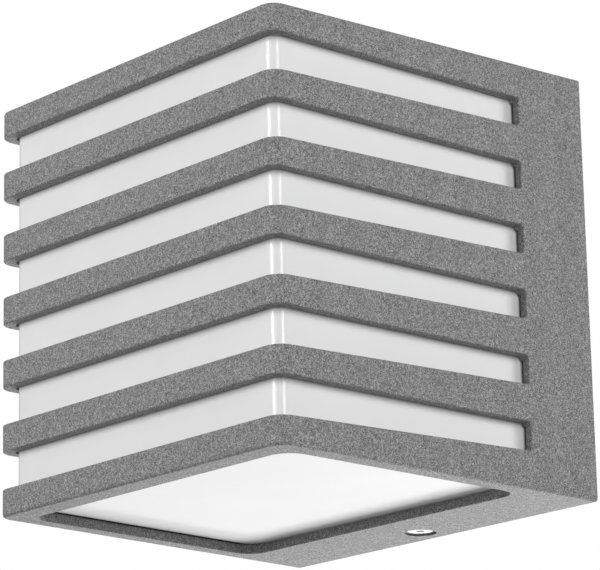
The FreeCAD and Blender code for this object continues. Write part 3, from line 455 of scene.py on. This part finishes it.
def make_threaded_shell():
    """Down the inner face from the mouth, across the floor and its hole, and up the outer face."""
    rows = [(out, shell_radius_at) for out in spaced(SHELL_LIP, SHELL_INNER_FOOT)]
    rows += [
        (SHELL_FLOOR, CREST_RADIUS - 0.3),
        (SHELL_FLOOR_INNER_EDGE, SHELL_HOLE_RADIUS),
        (SHELL_FLOOR_HOLLOW, SHELL_HOLE_RADIUS - 0.1),
        (SHELL_BACK, SHELL_HOLE_RADIUS),
        (SHELL_BACK, CREST_RADIUS + 0.2),
    ]
    rows += [(out, shell_outer_radius_at) for out in spaced(SHELL_OUTER_FOOT, SHELL_LIP)]
    rows += [(SHELL_MOUTH, CREST_RADIUS + THREAD_GAP + SHELL_SHEET / 2)]
    mesh = turned_mesh(rows, closed=True)
    add_shell_pin(mesh)
    stand_for(finished("threaded_shell", mesh), "screw_shell", "wall_unit")


make_threaded_cap()
make_threaded_shell()


# --------------------------------------------------------------------------------------------------
# Camera, floor and lights

CAMERA_PLACE = Vector((0.8381, -0.8082, -0.2979))
CAMERA_PITCH = 0.26575
CAMERA_ROLL = -0.02102
CAMERA_YAW = 0.84677
CAMERA_LENS = 191.8
CAMERA_REACH = 50
SENSOR_WIDTH = 36.0
LANTERN_MIDDLE = Vector((0, -0.073, 0))
FLOOR_DEPTH = 1.8
FLOOR_SIDE = 16
FLOOR_CLOUD_MM = 300.0
AMBIENT = 0.10


def make_camera():
    """Level right and forward directions first, then the roll about the view."""
    right = Vector((math.cos(CAMERA_YAW), math.sin(CAMERA_YAW), 0))
    level = math.cos(CAMERA_PITCH)
    ahead = Vector((-math.sin(CAMERA_YAW) * level, math.cos(CAMERA_YAW) * level, math.sin(CAMERA_PITCH)))
    up = right.cross(ahead)
    rolled_right = right * math.cos(CAMERA_ROLL) + up * math.sin(CAMERA_ROLL)
    rolled_up = up * math.cos(CAMERA_ROLL) - right * math.sin(CAMERA_ROLL)
    data = bpy.data.cameras.new("camera")
    data.lens = CAMERA_LENS
    data.sensor_width = SENSOR_WIDTH
    data.sensor_fit = "HORIZONTAL"
    data.clip_end = CAMERA_REACH
    camera = bpy.data.objects.new("camera", data)
    bpy.context.scene.collection.objects.link(camera)
    turned = Matrix((rolled_right, rolled_up, -ahead)).transposed().to_4x4()
    camera.matrix_world = Matrix.Translation(CAMERA_PLACE) @ turned
    bpy.context.scene.camera = camera


def direction(azimuth, elevation):
    """Unit vector from the lantern; azimuth 0 is straight out of its front and 90 is towards +X."""
    around = math.radians(azimuth)
    above = math.radians(elevation)
    level = math.cos(above)
    return Vector((math.sin(around) * level, -math.cos(around) * level, math.sin(above)))


def softbox(name, azimuth, elevation, distance, width, height, power, mirrored=True):
    """A rectangular light that faces the lantern; mirrored says whether shiny surfaces reflect it."""
    data = bpy.data.lights.new(name, "AREA")
    data.shape = "RECTANGLE"
    data.size = width
    data.size_y = height
    data.energy = power
    light = bpy.data.objects.new(name, data)
    bpy.context.scene.collection.objects.link(light)
    towards = direction(azimuth, elevation)
    light.location = LANTERN_MIDDLE + towards * distance
    light.rotation_euler = towards.to_track_quat("Z", "Y").to_euler()
    light.visible_camera = False
    light.visible_glossy = mirrored


def make_floor():
    bpy.ops.mesh.primitive_plane_add(size=FLOOR_SIDE, location=(0, 0, -FLOOR_DEPTH))
    floor = bpy.context.object
    floor.name = "floor"
    paint = Paint("floor_pale")
    cloud = paint.noise(FLOOR_CLOUD_MM, 3.0)
    paint.set(Base_Color=paint.ramp(cloud, (0.3, 0.78), (0.7, 0.82)), Roughness=0.8)
    floor.data.materials.append(paint.material)


def make_world():
    """White to look at, and a weak even light on everything."""
    world = bpy.data.worlds.new("studio")
    world.use_nodes = True
    tree = world.node_tree
    background = tree.nodes["Background"]
    background.inputs["Color"].default_value = (1, 1, 1, 1)
    background.inputs["Strength"].default_value = AMBIENT
    seen = tree.nodes.new("ShaderNodeBackground")
    seen.inputs["Color"].default_value = (1, 1, 1, 1)
    seen.inputs["Strength"].default_value = 1.0
    path = tree.nodes.new("ShaderNodeLightPath")
    mix = tree.nodes.new("ShaderNodeMixShader")
    tree.links.new(path.outputs["Is Camera Ray"], mix.inputs[0])
    tree.links.new(background.outputs[0], mix.inputs[1])
    tree.links.new(seen.outputs[0], mix.inputs[2])
    tree.links.new(mix.outputs[0], tree.nodes["World Output"].inputs["Surface"])
    bpy.context.scene.world = world


make_camera()
make_floor()
make_world()
softbox("key", -17, 10, 1.6, 0.65, 0.9, 18.6)
softbox("side", 75, 10, 1.7, 0.55, 0.9, 14.2)
softbox("side_rear", 128, 12, 1.7, 0.9, 0.8, 13, mirrored=False)
softbox("low_back", 197, -34, 1.6, 1.3, 0.9, 22)
softbox("low_soft", 208, -20, 1.6, 2.0, 0.8, 30, mirrored=False)
softbox("glint", 226, -16, 1.6, 0.9, 0.6, 1.3)
bpy.context.scene.view_settings.view_transform = "Standard"
